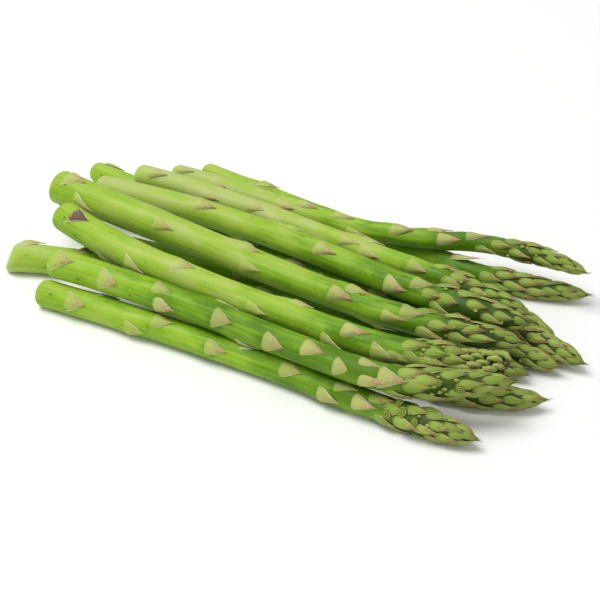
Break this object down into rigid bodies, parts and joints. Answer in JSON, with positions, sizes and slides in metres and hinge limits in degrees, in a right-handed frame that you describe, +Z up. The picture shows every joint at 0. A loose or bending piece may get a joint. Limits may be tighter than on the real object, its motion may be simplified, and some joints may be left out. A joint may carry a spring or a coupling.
{
  "type": "bundle of asparagus",
  "caption": "Loose bundle of fresh green asparagus spears lying down in a low pile, all pointing one way, with scale leaves along the stems and pointed scaly heads.",
  "frame": {"origin": "middle of the pile's plan, on the surface that it rests on", "axes": "+X along the spears from the cut ends to the tips, +Z up"},
  "size_m": [0.2638, 0.1357, 0.0342],
  "materials": {
    "green_bright": "smooth waxy skin of a fresh green stem, bright lime, paler at the cut end",
    "green_deep": "smooth waxy skin of a fresh green stem, deeper green",
    "green_pale": "smooth waxy skin of a fresh green stem, pale yellow-green"
  },
  "bodies": {
    "root": {"spear_low_left": "green_deep", "spear_front": "green_bright", "spear_under_left": "green_deep", "spear_under_mid": "green_deep", "spear_hidden_back": "green_deep", "spear_behind": "green_deep", "spear_long_low": "green_deep", "spear_second": "green_bright", "spear_pale": "green_pale", "spear_curled": "green_bright", "spear_slim": "green_pale", "spear_thick": "green_bright", "spear_top": "green_bright"}
  },
  "joints": []
}
